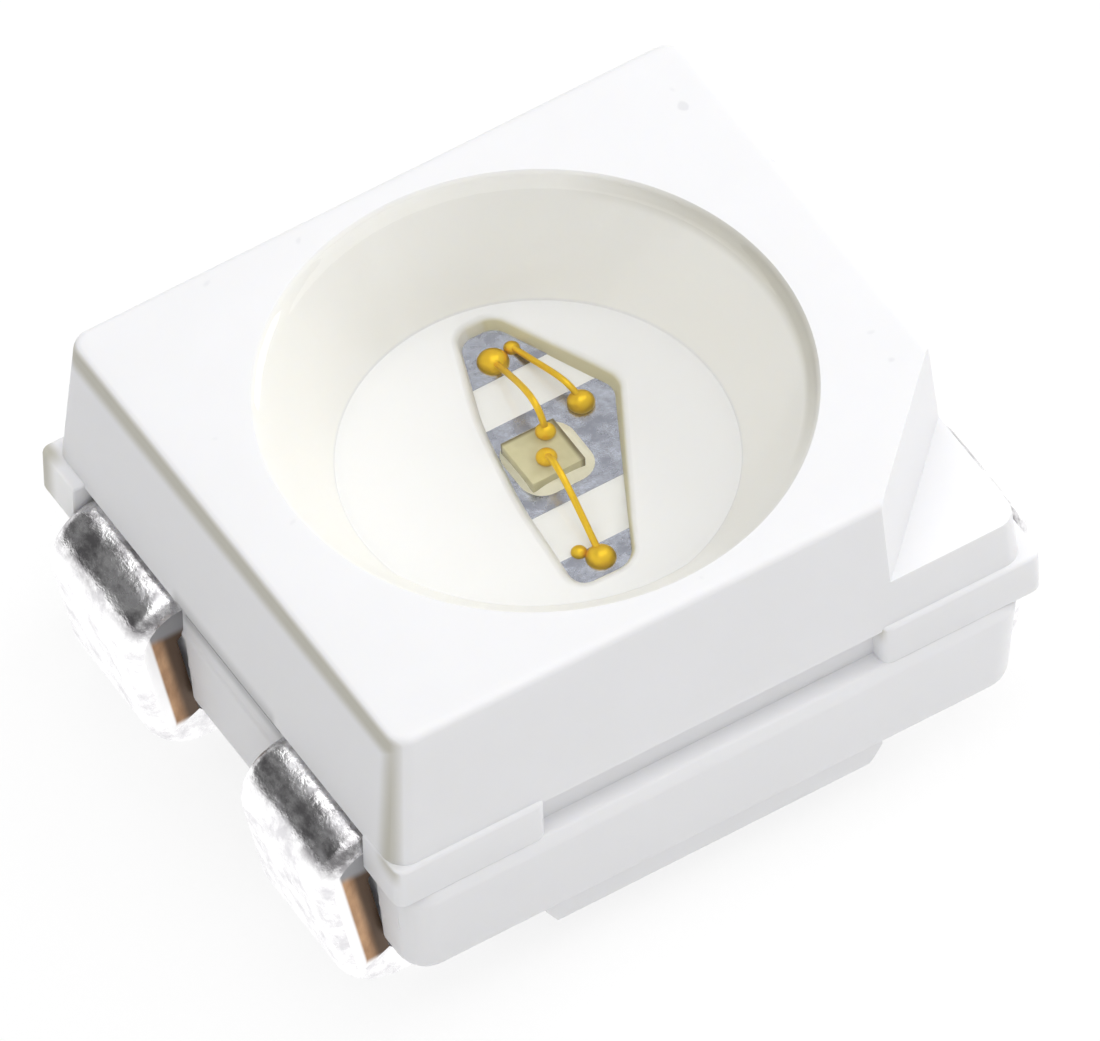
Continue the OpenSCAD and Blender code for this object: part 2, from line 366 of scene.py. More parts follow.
def calculate(tree, operation, a, b=None):
    node = tree.nodes.new("ShaderNodeMath")
    node.operation = operation
    for socket, value in zip(node.inputs, (a, b)):
        if value is None:
            continue
        if hasattr(value, "is_linked"):
            tree.links.new(value, socket)
        else:
            socket.default_value = value
    return node.outputs["Value"]


def rgba_mix_sockets(node):
    return [s for s in node.inputs if s.type == "RGBA"], [s for s in node.outputs if s.type == "RGBA"][0]


def blend_colours(tree, amount, first, second):
    node = tree.nodes.new("ShaderNodeMix")
    node.data_type = "RGBA"
    tree.links.new(amount, node.inputs[0])
    inputs, output = rgba_mix_sockets(node)
    for socket, value in zip(inputs, (first, second)):
        if hasattr(value, "is_linked"):
            tree.links.new(value, socket)
        else:
            socket.default_value = (*value[:3], 1.0)
    return output


def add_bump(tree, shader, height, distance, strength=1.0):
    bump = tree.nodes.new("ShaderNodeBump")
    bump.inputs["Strength"].default_value = strength
    bump.inputs["Distance"].default_value = distance
    tree.links.new(height, bump.inputs["Height"])
    tree.links.new(bump.outputs["Normal"], shader.inputs["Normal"])


def object_axis(tree, output, axis):
    place = tree.nodes.new("ShaderNodeTexCoord")
    split = tree.nodes.new("ShaderNodeSeparateXYZ")
    tree.links.new(place.outputs[output], split.inputs["Vector"])
    return split.outputs[axis]


# Smooth 0 to 1 ramp of an object coordinate between two places, in millimetres
def ramp(tree, value, start, end):
    node = tree.nodes.new("ShaderNodeMapRange")
    node.interpolation_type = "SMOOTHSTEP"
    node.inputs["From Min"].default_value = min(start, end) * MM
    node.inputs["From Max"].default_value = max(start, end) * MM
    node.inputs["To Min"].default_value = 0.0 if start < end else 1.0
    node.inputs["To Max"].default_value = 1.0 if start < end else 0.0
    tree.links.new(value, node.inputs["Value"])
    return node.outputs["Result"]


def times(tree, *values):
    result = values[0]
    for value in values[1:]:
        result = calculate(tree, "MULTIPLY", result, value)
    return result


def radius_from_middle(tree, x, y):
    across = calculate(tree, "MULTIPLY", x, x)
    along = calculate(tree, "MULTIPLY", y, y)
    return calculate(tree, "SQRT", calculate(tree, "ADD", across, along))


# White moulding: fine spark-eroded grain, a little translucent, a creamy flash-thin nub, and painted light and
# shade on several faces
def moulding_material(settings):
    material, tree, shader = new_material("white_moulding")
    x, y, z = [object_axis(tree, "Object", axis) for axis in "XYZ"]
    grain = object_noise(tree, 60, detail=4.0)
    cloud = object_noise(tree, 2.2, detail=2.0)
    tone = stretch(tree, cloud, 0.35, 0.65, 0.0, 0.08)
    base = blend_colours(tree, tone, settings.white, (0.76, 0.755, 0.74))
    # Cup wall: a little yellow through the resin, and painted lighter than the white moulding as painted
    # light. The cup floor is painted a little darker as painted shade
    radius = radius_from_middle(tree, x, y)
    inside = times(tree, ramp(tree, radius, 1.185, 1.17), ramp(tree, z, 1.075, 1.09))
    base = blend_colours(tree, inside, base, settings.cup_wall)
    floor = times(tree, ramp(tree, radius, 0.9, 0.84), ramp(tree, z, 1.1, 1.085))
    base = blend_colours(tree, floor, base, settings.cup_floor)
    # Painted shade in the window: its walls and the plastic between the pads are painted grey, and the walls
    # facing -X, on the shadow side, beige-grey with the resin's warm tint
    wall = stretch(tree, calculate(tree, "ABSOLUTE", object_axis(tree, "Normal", "Z")), 0.85, 0.45)
    wall = times(tree, wall, stretch(tree, object_axis(tree, "Normal", "X"), 0.2, -0.2))
    window = times(tree, ramp(tree, radius, 0.86, 0.84), ramp(tree, z, 1.085, 1.07))
    base = blend_colours(tree, window, base, (0.76, 0.76, 0.73))
    base = blend_colours(tree, times(tree, window, wall), base, (0.66, 0.63, 0.44))
    # Painted shade: a cream-grey band along the top and front edges of the left end face, where its rounded
    # edges fall into shade
    left = stretch(tree, object_axis(tree, "Normal", "X"), -0.5, -0.9)
    top_edge_shade = ramp(tree, z, 1.65, 1.74)
    front_edge_shade = times(tree, ramp(tree, y, -1.18, -1.28), ramp(tree, z, 0.95, 1.1))
    edge = times(tree, left, calculate(tree, "MAXIMUM", top_edge_shade, front_edge_shade))
    base = blend_colours(tree, calculate(tree, "MULTIPLY", edge, 0.85), base, settings.cream)
    # Shade that gathers in the parting grooves of the ends
    groove = times(tree, ramp(tree, calculate(tree, "ABSOLUTE", x), 1.45, 1.47), ramp(tree, z, 0.86, 0.93))
    between_legs = ramp(tree, calculate(tree, "ABSOLUTE", y), 0.42, 0.37)
    groove = times(tree, groove, ramp(tree, z, 1.14, 1.04), between_legs)
    base = blend_colours(tree, calculate(tree, "MULTIPLY", groove, 0.9), base, (0.52, 0.52, 0.53))
    # Painted light: the left ends of the ears are coloured near white
    ear_end = ramp(tree, x, -1.585, -1.597)
    base = blend_colours(tree, ear_end, base, (0.97, 0.97, 0.97))
    # Flash-thin corner nub at the back left
    nub = times(tree, ramp(tree, x, -1.52, -1.57), ramp(tree, y, 1.22, 1.33))
    base = blend_colours(tree, calculate(tree, "MULTIPLY", nub, 0.85), base, settings.cream)
    speck = object_noise(tree, 11, detail=0.0)
    dust = times(tree, stretch(tree, speck, 0.82, 0.88), ramp(tree, z, 1.78, 1.795))
    base = blend_colours(tree, calculate(tree, "MULTIPLY", dust, 0.22), base, (0.45, 0.45, 0.5))
    tree.links.new(base, shader.inputs["Base Color"])
    tree.links.new(stretch(tree, grain, 0.3, 0.7, 0.45, 0.58), shader.inputs["Roughness"])
    shader.inputs["Subsurface Weight"].default_value = 0.2
    shader.inputs["Subsurface Radius"].default_value = (1.0, 0.9, 0.7)
    shader.inputs["Subsurface Scale"].default_value = 0.06 * MM
    shader.inputs["Specular IOR Level"].default_value = 0.35
    add_bump(tree, shader, grain, 0.0008 * MM, 0.4)
    return material


def resin_material(settings):
    material, tree, shader = new_material("clear_resin")
    ripple = object_noise(tree, 1.6, detail=1.0)
    shader.inputs["Base Color"].default_value = (1.0, 1.0, 1.0, 1.0)
    shader.inputs["Transmission Weight"].default_value = 1.0
    shader.inputs["IOR"].default_value = settings.ior
    tree.links.new(stretch(tree, ripple, 0.3, 0.7, 0.0, 0.02), shader.inputs["Roughness"])
    return material


# Plated lead: mottled silver, with bare copper where the punch cut it
def silver_material(settings):
    material, tree, shader = new_material("plated_lead")
    blotch = object_noise(tree, 9, detail=4.0, roughness=0.65)
    scratch = object_noise(tree, 14, detail=3.0, squash=(0.25, 1, 0.25))
    dull = stretch(tree, blotch, 0.45, 0.65)
    colour = blend_colours(tree, dull, settings.silver, (0.7, 0.69, 0.71))
    x, y = object_axis(tree, "Object", "X"), object_axis(tree, "Object", "Y")
    # Painted reflection: under the resin the plating is coloured dark blue-grey, darker than the silver
    # outside the cup
    in_cup = ramp(tree, radius_from_middle(tree, x, y), 1.3, 1.2)
    pad_dark_reflection = blend_colours(tree, stretch(tree, blotch, 0.4, 0.62), (0.42, 0.44, 0.49), (0.25, 0.26, 0.3))
    colour = blend_colours(tree, in_cup, colour, pad_dark_reflection)
    # Crinkled outside of the first bend: the crinkle is a bump, and its patches are painted dark grey as a
    # painted reflection of the dark surroundings
    z = object_axis(tree, "Object", "Z")
    crinkle = object_noise(tree, 8, detail=5.0, roughness=0.7, squash=(1, 0.6, 1))
    bend = times(tree, ramp(tree, z, 0.82, 0.9), ramp(tree, calculate(tree, "ABSOLUTE", x), 1.49, 1.52))
    dark_bend_reflection = times(tree, bend, stretch(tree, crinkle, 0.42, 0.6))
    colour = blend_colours(tree, dark_bend_reflection, colour, (0.34, 0.33, 0.34))
    tree.links.new(colour, shader.inputs["Base Color"])
    shader.inputs["Metallic"].default_value = 1.0
    tree.links.new(stretch(tree, blotch, 0.3, 0.7, 0.16, 0.34), shader.inputs["Roughness"])
    height = calculate(tree, "ADD", calculate(tree, "ADD", blotch, scratch), times(tree, crinkle, bend, 6.0))
    add_bump(tree, shader, height, 0.0022 * MM, 0.5)
    return material


def copper_material(settings):
    material, tree, shader = new_material("copper_edge")
    streak = object_noise(tree, 16, detail=4.0, squash=(1, 0.2, 0.35))
    tone = stretch(tree, streak, 0.35, 0.68)
    colour = blend_colours(tree, tone, settings.copper, (0.4, 0.22, 0.11))
    # Depth from the outer face of the leaning leg
    lean = math.radians(LEAD_LEAN)
    thick = LEAD_TOP - LEAD_LOW
    x, z = object_axis(tree, "Object", "X"), object_axis(tree, "Object", "Z")
    outward = calculate(tree, "MULTIPLY", calculate(tree, "ABSOLUTE", x), math.cos(lean))
    outward = calculate(tree, "SUBTRACT", outward, calculate(tree, "MULTIPLY", z, math.sin(lean)))
    bend_x = LEAD_SPAN / 2 - FIRST_BEND - thick
    bend_z = LEAD_LOW - FIRST_BEND
    outer = bend_x * math.cos(lean) - bend_z * math.sin(lean) + FIRST_BEND + thick
    # Painted shadow: deeper in from the outer face, towards the body, the cut edge is painted near black
    colour = blend_colours(tree, ramp(tree, outward, outer - 0.13, outer - 0.18), colour, (0.09, 0.05, 0.025))
    # Painted shade: above the copper, the side of the bend is painted dark grey
    shaded_bend_side = ramp(tree, z, 0.79, 0.85)
    colour = blend_colours(tree, shaded_bend_side, colour, (0.3, 0.3, 0.31))
    skin = ramp(tree, outward, outer - 0.115, outer - 0.1)
    plated = calculate(tree, "MAXIMUM", skin, ramp(tree, z, 0.24, 0.2))
    colour = blend_colours(tree, plated, colour, settings.silver)
    tree.links.new(colour, shader.inputs["Base Color"])
    tree.links.new(stretch(tree, plated, 0.0, 1.0, 0.5, 1.0), shader.inputs["Metallic"])
    tree.links.new(stretch(tree, streak, 0.3, 0.7, 0.35, 0.5), shader.inputs["Roughness"])
    add_bump(tree, shader, streak, 0.003 * MM, 0.5)
    return material


def chip_material():
    material, tree, shader = new_material("chip_crystal")
    facet = object_noise(tree, 20, detail=1.0)
    colour = blend_colours(tree, facet, (0.84, 0.79, 0.51), (0.7, 0.65, 0.38))
    x = object_axis(tree, "Object", "X")
    y = object_axis(tree, "Object", "Y")
    # Painted shade: a dark rim along the chip's far edges, standing in for the far side walls seen through the
    # clear crystal
    painted_far_rim = calculate(tree, "MAXIMUM", ramp(tree, x, 0.128, 0.152), ramp(tree, y, 0.115, 0.135))
    colour = blend_colours(tree, calculate(tree, "MULTIPLY", painted_far_rim, 0.85), colour, (0.16, 0.12, 0.05))
    tree.links.new(colour, shader.inputs["Base Color"])
    shader.inputs["Transmission Weight"].default_value = 0.25
    shader.inputs["IOR"].default_value = 1.3
    shader.inputs["Roughness"].default_value = 0.15
    return material


def glue_material(settings):
    material, tree, shader = new_material("chip_glue")
    cloud = object_noise(tree, 12, detail=3.0)
    colour = blend_colours(tree, stretch(tree, cloud, 0.35, 0.65), settings.glue, (0.9, 0.86, 0.66))
    tree.links.new(colour, shader.inputs["Base Color"])
    tree.links.new(stretch(tree, cloud, 0.3, 0.7, 0.3, 0.45), shader.inputs["Roughness"])
    add_bump(tree, shader, cloud, 0.004 * MM, 0.5)
    return material


def gold_material(settings):
    material, tree, shader = new_material("gold_wire")
    tone = object_noise(tree, 14, detail=2.0)
    colour = blend_colours(tree, tone, settings.gold, (0.78, 0.47, 0.02))
    tree.links.new(colour, shader.inputs["Base Color"])
    shader.inputs["Metallic"].default_value = 0.9
    tree.links.new(stretch(tree, tone, 0.3, 0.7, 0.34, 0.48), shader.inputs["Roughness"])
    add_bump(tree, shader, tone, 0.001 * MM, 0.25)
    return material


# Solid that fills the window down to a level, its walls flared
def window_solid(low_z, high_z, grow, flare):
    piece = disc(len(WINDOW), 1, high_z)
    edit(piece, "VERT")
    mesh = bmesh.from_edit_mesh(piece.data)
    mesh.verts.ensure_lookup_table()
    for vert, (x, y, radius) in zip(mesh.verts, WINDOW):
        vert.co = (x, y, high_z)
    bmesh.update_edit_mesh(piece.data)
    for x, y, radius in WINDOW:
        pick(piece, "verts", lambda v: abs(v.co.x - x) < 1e-4 and abs(v.co.y - y) < 1e-4)
        bpy.ops.mesh.bevel(offset=radius, offset_type="WIDTH", segments=8, affect="VERTICES")
    bpy.ops.mesh.select_mode(type="FACE")
    bpy.ops.mesh.select_all(action="SELECT")
    grown = 1 + grow / WINDOW_HALF[0], 1 + grow / WINDOW_HALF[1]
    bpy.ops.transform.resize(value=(*grown, 1), center_override=(*WINDOW_MIDDLE, high_z))
    bpy.ops.mesh.extrude_region_move(TRANSFORM_OT_translate={"value": (0, 0, low_z - high_z)})
    flared = 1 - flare / WINDOW_HALF[0], 1 - flare / WINDOW_HALF[1]
    bpy.ops.transform.resize(value=(*flared, 1), center_override=(*WINDOW_MIDDLE, low_z))
    bpy.ops.mesh.select_all(action="SELECT")
    bpy.ops.mesh.normals_make_consistent(inside=False)
    done()
    return piece


def stacked_rings(rings, vertices=160):
    """A turned solid from (radius, height) rings, bottom first."""
    radius, height = rings[0]
    piece = disc(vertices, radius, height)
    edit(piece)
    bpy.ops.mesh.select_all(action="SELECT")
    for next_radius, next_height in rings[1:]:
        bpy.ops.mesh.extrude_region_move(TRANSFORM_OT_translate={"value": (0, 0, next_height - height)})
        scale = next_radius / radius
        bpy.ops.transform.resize(value=(scale, scale, 1), center_override=(0, 0, next_height))
        radius, height = next_radius, next_height
    bpy.ops.mesh.select_all(action="SELECT")
    bpy.ops.mesh.normals_make_consistent(inside=False)
    done()
    return piece


class LED_OT_make_housing(bpy.types.Operator):
    """Moulds the white housing with its cup, window, slots, ears, foot and cut corner"""

    bl_idname = "led.make_housing"
    bl_label = "Make housing"

    def execute(self, context):
        settings = context.scene.led_housing
        corner = settings.corner_radius / MM
        body = self.upper_body(corner, settings.top_radius / MM)
        combine(body, slab(CORE, 0.6, 1.15), "UNION")
        combine(body, self.lower_body(corner), "UNION")
        combine(body, self.centre_foot(), "UNION")
        for ear in self.ears():
            combine(body, ear, "UNION")
        combine(body, self.corner_tool(), "DIFFERENCE")
        cup = [(FLOOR_RADIUS, CUP_FLOOR), (RIM_RADIUS - 0.02, TOP - 0.02), (RIM_RADIUS + 0.02, TOP + 0.02)]
        combine(body, stacked_rings(cup), "DIFFERENCE")
        combine(body, window_solid(LEAD_TOP - 0.003, CUP_FLOOR + 0.02, 0.0, 0.038), "DIFFERENCE")
        for pocket in [*self.pockets(), *self.end_grooves()]:
            combine(body, pocket, "DIFFERENCE")
        self.soften_cuts(body, settings.edge_break / MM)
        finish_piece(body, "moulded_housing", ["housing"], [moulding_material(settings)])
        return {"FINISHED"}

    def upper_body(self, corner, top_radius):
        body = slab(UPPER_BASE, UPPER_LOW, TOP)
        edit(body)
        resize_at(body, TOP, UPPER_BASE, UPPER_TOP)
        pick(body, "edges", upright)
        bpy.ops.mesh.bevel(offset=corner, segments=8, affect="EDGES")
        pick(body, "edges", at_height(TOP))
        bpy.ops.mesh.bevel(offset=top_radius, segments=4, affect="EDGES")
        done()
        return body

    def lower_body(self, corner):
        body = slab(LOWER_TOP, UNDERSIDE, SHOULDER)
        edit(body)
        resize_at(body, UNDERSIDE, LOWER_TOP, LOWER_BASE)
        pick(body, "faces", at_height(SHOULDER))
        bpy.ops.mesh.extrude_region_move(TRANSFORM_OT_translate={"value": (0, 0, 0.05)})
        resize_at(body, SHOULDER_TOP, LOWER_TOP, LOWER_SHELF)
        pick(body, "edges", rises)
        bpy.ops.mesh.bevel(offset=corner * 1.3, segments=8, affect="EDGES")
        pick(body, "edges", at_height(UNDERSIDE))
        bpy.ops.mesh.bevel(offset=0.09, segments=5, affect="EDGES")
        pick(body, "edges", lambda e: at_height(SHOULDER)(e) or at_height(SHOULDER_TOP)(e))
        bpy.ops.mesh.bevel(offset=0.014, segments=3, affect="EDGES")
        done()
        return body

    def centre_foot(self):
        foot = slab(FOOT_TOP, FOOT_LOW, UNDERSIDE)
        edit(foot)
        resize_at(foot, FOOT_LOW, FOOT_TOP, FOOT_SOLE)
        pick(foot, "edges", lambda e: at_height(FOOT_LOW)(e) and abs(e.verts[0].co.y - e.verts[1].co.y) < 0.01)
        bpy.ops.mesh.bevel(offset=0.06, segments=5, affect="EDGES")
        pick(foot, "faces", at_height(UNDERSIDE))
        bpy.ops.mesh.extrude_region_move(TRANSFORM_OT_translate={"value": (0, 0, 0.15)})
        done()
        return foot

    def ears(self):
        first = block((SLOT_END, -EAR_SIDE, EAR_LOW), (EAR_END, -1.1, EAR_HIGH))
        edit(first)
        pick(first, "edges", lambda e: upright(e) and e.verts[0].co.y < -1.3)
        bpy.ops.mesh.bevel(offset=0.05, segments=5, affect="EDGES")
        pick(first, "edges", lambda e: at_height(EAR_HIGH)(e) or at_height(EAR_LOW)(e))
        bpy.ops.mesh.bevel(offset=0.016, segments=3, affect="EDGES")
        done()
        second = mirrored(first, 0)
        third = mirrored(first, 1)
        fourth = mirrored(second, 1)
        # The front-left ear ends flush with the end face
        edit(second)
        pick(second, "verts", lambda v: v.co.x < -1.5)
        bpy.ops.transform.translate(value=(0.052, 0, 0))
        done()
        return [first, second, third, fourth]

    def corner_tool(self):
        rest()
        middle = Vector((1.49 - CORNER_CUT / 2, -1.3 + CORNER_CUT / 2, 0))
        outward = Vector((1, -1, 0)).normalized()
        across = Vector((1, 1, 0)).normalized()
        tool = block((0, -1, LEDGE), (1, 1, 2.0))
        edit(tool, "VERT")
        pick(tool, "verts", lambda v: v.co.x < 0.01 and v.co.z < 1.4)
        bpy.ops.transform.translate(value=(0.034, 0, 0))
        pick(tool, "verts", lambda v: v.co.x < 0.01 and v.co.z > 1.9)
        bpy.ops.transform.translate(value=(-0.014, 0, 0))
        done()
        placed = Matrix((
            (outward.x, across.x, 0, middle.x),
            (outward.y, across.y, 0, middle.y),
            (0, 0, 1, 0),
            (0, 0, 0, 1),
        ))
        tool.matrix_world = placed
        activate(tool)
        bpy.ops.object.transform_apply(location=True, rotation=True, scale=True)
        return tool

    def pockets(self):
        tools = []
        for y in (-LEAD_PITCH / 2, LEAD_PITCH / 2):
            reach = LEAD_WIDTH / 2
            tool = block((1.5, y - reach - 0.03, -0.1), (2.0, y + reach + 0.03, LEAD_LOW))
            edit(tool, "VERT")
            pick(tool, "verts", lambda v: v.co.x < 1.6 and v.co.z < 0)
            bpy.ops.transform.translate(value=(-0.155, 0, 0))
            done()
            tools += [tool, mirrored(tool, 0)]
        return tools

    def end_grooves(self):
        """Parting groove on each end, between its two leads."""
        groove = block((1.485, -0.37, 0.94), (1.7, 0.37, 1.04))
        edit(groove)
        pick(groove, "verts", lambda v: v.co.x > 1.6 and v.co.z < 1)
        bpy.ops.transform.translate(value=(0, 0, -0.06))
        done()
        return [groove, mirrored(groove, 0)]

    def soften_cuts(self, body, width):
        """Breaks the edges that the cutters left: the cut corner's and the window's."""
        edit(body)

        def cut_corner(edge):
            middle = (edge.verts[0].co + edge.verts[1].co) / 2
            return at_height(TOP, 0.003)(edge) and middle.x - middle.y > 2.45 and edge.calc_length() > 0.5

        pick(body, "edges", cut_corner)
        bpy.ops.mesh.bevel(offset=0.025, segments=4, affect="EDGES")
        pick(body, "edges", lambda e: at_height(CUP_FLOOR)(e) and e.verts[0].co.xy.length < 0.81)
        bpy.ops.mesh.bevel(offset=width * 2, segments=4, affect="EDGES")
        # The cup floor stays flat up to its edges
        reach = FLOOR_RADIUS + 0.03
        pick(body, "edges", lambda e: at_height(CUP_FLOOR)(e) and e.verts[0].co.xy.length < reach)
        bpy.ops.mesh.mark_sharp()
        done()


class LED_OT_fill_cup(bpy.types.Operator):
    """Fills the cup with clear resin, with a meniscus at the rim"""

    bl_idname = "led.fill_cup"
    bl_label = "Fill cup"

    def execute(self, context):
        settings = context.scene.led_resin
        wet = settings.overlap / MM
        edge_radius, edge_height = 1.1622, 1.785
        flat_radius, flat_height = 1.1022, 1.765
        meniscus_run, meniscus_rise = 0.06, 0.02
        rings = [(FLOOR_RADIUS + wet, CUP_FLOOR - wet), (edge_radius + wet, edge_height)]
        for step in range(1, 7):
            share = 1 - step / 6
            rings.append((flat_radius + meniscus_run * share, flat_height + meniscus_rise * share * share))
        resin = stacked_rings(rings)
        combine(resin, window_solid(LEAD_TOP - 0.002, CUP_FLOOR + 0.01, 0.03, 0.038), "UNION")
        materials = [resin_material(settings)]
        resin = finish_piece(resin, "clear_resin_fill", ["encapsulant"], materials, 60)
        resin.visible_shadow = False
        return {"FINISHED"}


class LED_OT_bend_leads(bpy.types.Operator):
    """Punches and bends the plated leads"""

    bl_idname = "led.bend_leads"
    bl_label = "Bend leads"

    def execute(self, context):
        settings = context.scene.led_leads
        materials = [silver_material(settings), copper_material(settings)]
        roll = settings.roll_over / MM
        single = [((-1.5, 0.4), (-1.2, 1.1)), ((-1.27, 0.49), (0.56, 1.1))]
        shared = [
            ((-1.5, -1.1), (-0.78, -0.4)),
            ((-1.05, -0.6), (-0.78, 0.27)),
            ((-0.9, -0.23), (1.05, 0.27)),
            ((0.78, 0.1), (1.05, 0.6)),
            ((0.78, 0.4), (1.5, 1.1)),
        ]
        self.lead("plated_lead_back_left", "lead_back_left", single, [(-1, 1)], roll, materials)
        turned = [((-x2, -y2), (-x1, -y1)) for (x1, y1), (x2, y2) in single]
        self.lead("plated_lead_front_right", "lead_front_right", turned, [(1, -1)], roll, materials)
        self.lead("plated_lead_chip_pad", "lead_chip_pad", shared, [(-1, -1), (1, 1)], roll, materials)
        return {"FINISHED"}

    def lead(self, name, node, plates, legs, roll, materials):
        flat = None
        for (x1, y1), (x2, y2) in plates:
            plate = block((x1, y1, LEAD_LOW), (x2, y2, LEAD_TOP))
            if flat is None:
                flat = plate
            else:
                combine(flat, plate, "UNION")
        parts = [flat]
        for side, row in legs:
            leg = self.leg(roll)
            edit(leg)
            bpy.ops.mesh.select_all(action="SELECT")
            bpy.ops.transform.translate(value=(0, row * LEAD_PITCH / 2, 0))
            done()
            if side < 0:
                turned = mirrored(leg, 0)
                bpy.data.objects.remove(leg, do_unlink=True)
                leg = turned
            parts.append(leg)
        piece = join(parts)
        for material in materials:
            piece.data.materials.append(material)
        edit(piece)
        pick(piece, "faces", lambda f: abs(f.normal.y) > 0.97 and f.calc_center_median().z > 0.16
             and abs(f.calc_center_median().x) > 1.5)
        piece.active_material_index = 1
        bpy.ops.object.material_slot_assign()
        done()
        finish_piece(piece, name, [node], materials, 40)

    def leg(self, roll):
        """One bent leg for the +X side, made by spinning and extruding its cross-section."""
        rest()
        bpy.ops.mesh.primitive_plane_add(size=1, location=(0, 0, 0))
        leg = bpy.context.object
        thick = LEAD_TOP - LEAD_LOW
        leg.scale = (thick, LEAD_WIDTH, 1)
        bpy.ops.object.transform_apply(location=True, rotation=True, scale=True)
        edit(leg, "VERT")
        pick(leg, "verts", lambda v: v.co.x > 0)
        bpy.ops.mesh.bevel(offset=roll, segments=6, affect="VERTICES")
        # Stand the section up at the start of the first bend, outer side on top
        bpy.ops.mesh.select_all(action="SELECT")
        mesh = bmesh.from_edit_mesh(leg.data)
        first_x = LEAD_SPAN / 2 - FIRST_BEND - thick
        for vert in mesh.verts:
            vert.co = Vector((first_x - 0.1, vert.co.y, LEAD_LOW + thick / 2 + vert.co.x))
        bmesh.update_edit_mesh(leg.data)
        bpy.ops.mesh.select_mode(type="FACE")
        bpy.ops.mesh.select_all(action="SELECT")
        bpy.ops.mesh.extrude_region_move(TRANSFORM_OT_translate={"value": (0.1, 0, 0)})
        lean = math.radians(LEAD_LEAN)
        centre = Vector((first_x, 0, LEAD_LOW - FIRST_BEND))
        bpy.ops.mesh.spin(steps=14, angle=-math.pi / 2 - lean, center=centre, axis=(0, 1, 0))
        outer_first, outer_second = FIRST_BEND + thick, SECOND_BEND + thick
        run = (centre.z - outer_first * math.sin(lean) - outer_second * (1 - math.sin(lean))) / math.cos(lean)
        down = Vector((-math.sin(lean), 0, -math.cos(lean)))
        bpy.ops.mesh.extrude_region_move(TRANSFORM_OT_translate={"value": down * run})
        outward = Vector((math.cos(lean), 0, -math.sin(lean)))
        second = centre + outward * (outer_first - outer_second) + down * run
        bpy.ops.mesh.spin(steps=12, angle=lean - math.pi / 2, center=second, axis=(0, 1, 0))
        bpy.ops.mesh.extrude_region_move(TRANSFORM_OT_translate={"value": (-LEAD_FOOT, 0, 0)})
        bpy.ops.mesh.select_all(action="SELECT")
        bpy.ops.mesh.normals_make_consistent(inside=False)
        done()
        return leg


class LED_OT_mount_chip(bpy.types.Operator):
    """Seats the chip in its glue on the middle pad"""

    bl_idname = "led.mount_chip"
    bl_label = "Mount chip"

    def execute(self, context):
        settings = context.scene.led_chip
        glue = block((-0.125, -0.165, LEAD_TOP - 0.001), (0.225, 0.185, GLUE_TOP))
        edit(glue)
        shrink_at(glue, GLUE_TOP, (0.05, 0.01), 0.78)
        pick(glue, "edges", rises)
        bpy.ops.mesh.bevel(offset=0.09, segments=8, affect="EDGES")
        pick(glue, "edges", at_height(GLUE_TOP))
        bpy.ops.mesh.bevel(offset=0.02, segments=4, affect="EDGES")
        done()
        finish_piece(glue, "chip_glue_fillet", ["chip_glue"], [glue_material(settings)], 50)
        chip = block((-0.1, -0.12, CHIP_LOW), (0.16, 0.14, CHIP_TOP))
        edit(chip)
        pick(chip, "edges", lambda e: True)
        bpy.ops.mesh.bevel(offset=0.006, segments=2, affect="EDGES")
        done()
        finish_piece(chip, "chip_crystal", ["led_chip"], [chip_material()])
        return {"FINISHED"}


class LED_OT_bond_wires(bpy.types.Operator):
    """Bonds the gold wires from the chip to the pads"""

    bl_idname = "led.bond_wires"
    bl_label = "Bond wires"

    def execute(self, context):
        gold = gold_material(context.scene.led_chip)
        wires = [
            ("back", (0.09, 0.085, CHIP_TOP), (0.135, 0.575, LEAD_TOP), 0.3, 0.045, 0.07),
            ("front", (0.02, -0.035, CHIP_TOP), (-0.042, -0.56, LEAD_TOP), 0.2, 0.046, 0.066),
            ("link", (0.325, 0.185, LEAD_TOP), (0.24, 0.597, LEAD_TOP), 0.15, 0.06, 0.036),
        ]
        for way, start, end, rise, start_radius, end_radius in wires:
            parts = [
                self.loop(Vector(start), Vector(end), rise),
                self.ball(start, 0.022, start_radius),
                self.ball(end, 0.0, end_radius),
            ]
            if way == "front":
                parts.append(self.ball((end[0] - 0.062, end[1] + 0.072, end[2]), 0.0, 0.036))
            finish_piece(join(parts), "gold_wire_" + way, ["bond_wire_" + way], [gold], 60)
        return {"FINISHED"}

    def loop(self, start, end, rise):
        """Wire that climbs from its ball and comes down in a long slope to its bond."""
        rest()
        bpy.ops.curve.primitive_bezier_curve_add()
        wire = bpy.context.object
        wire.matrix_world = Matrix()
        along = (end - start).normalized()
        first, last = wire.data.splines[0].bezier_points
        first.co = start + Vector((0, 0, 0.03))
        last.co = end + Vector((0, 0, 0.018))
        for point in (first, last):
            point.handle_left_type = "FREE"
            point.handle_right_type = "FREE"
        first.handle_right = first.co + Vector((0, 0, rise)) + along * 0.08
        first.handle_left = first.co - Vector((0, 0, 0.05))
        last.handle_left = last.co - along * 0.22 + Vector((0, 0, rise * 0.35))
        last.handle_right = last.co + along * 0.05
        wire.data.resolution_u = 32
        wire.data.bevel_depth = 0.0155
        wire.data.bevel_resolution = 6
        wire.data.use_fill_caps = True
        bpy.ops.object.convert(target="MESH")
        return bpy.context.object

    def ball(self, at, lift, radius):
        rest()
        bpy.ops.mesh.primitive_uv_sphere_add(
            segments=32, ring_count=20, radius=radius, location=(at[0], at[1], at[2] + lift)
        )
        ball = bpy.context.object
        bpy.ops.object.transform_apply(location=True, rotation=True, scale=True)
        edit(ball)
        bpy.ops.mesh.select_all(action="SELECT")
        bpy.ops.mesh.bisect(
            plane_co=(at[0], at[1], at[2] - 0.0005), plane_no=(0, 0, 1), use_fill=True, clear_inner=True
        )
        done()
        return ball


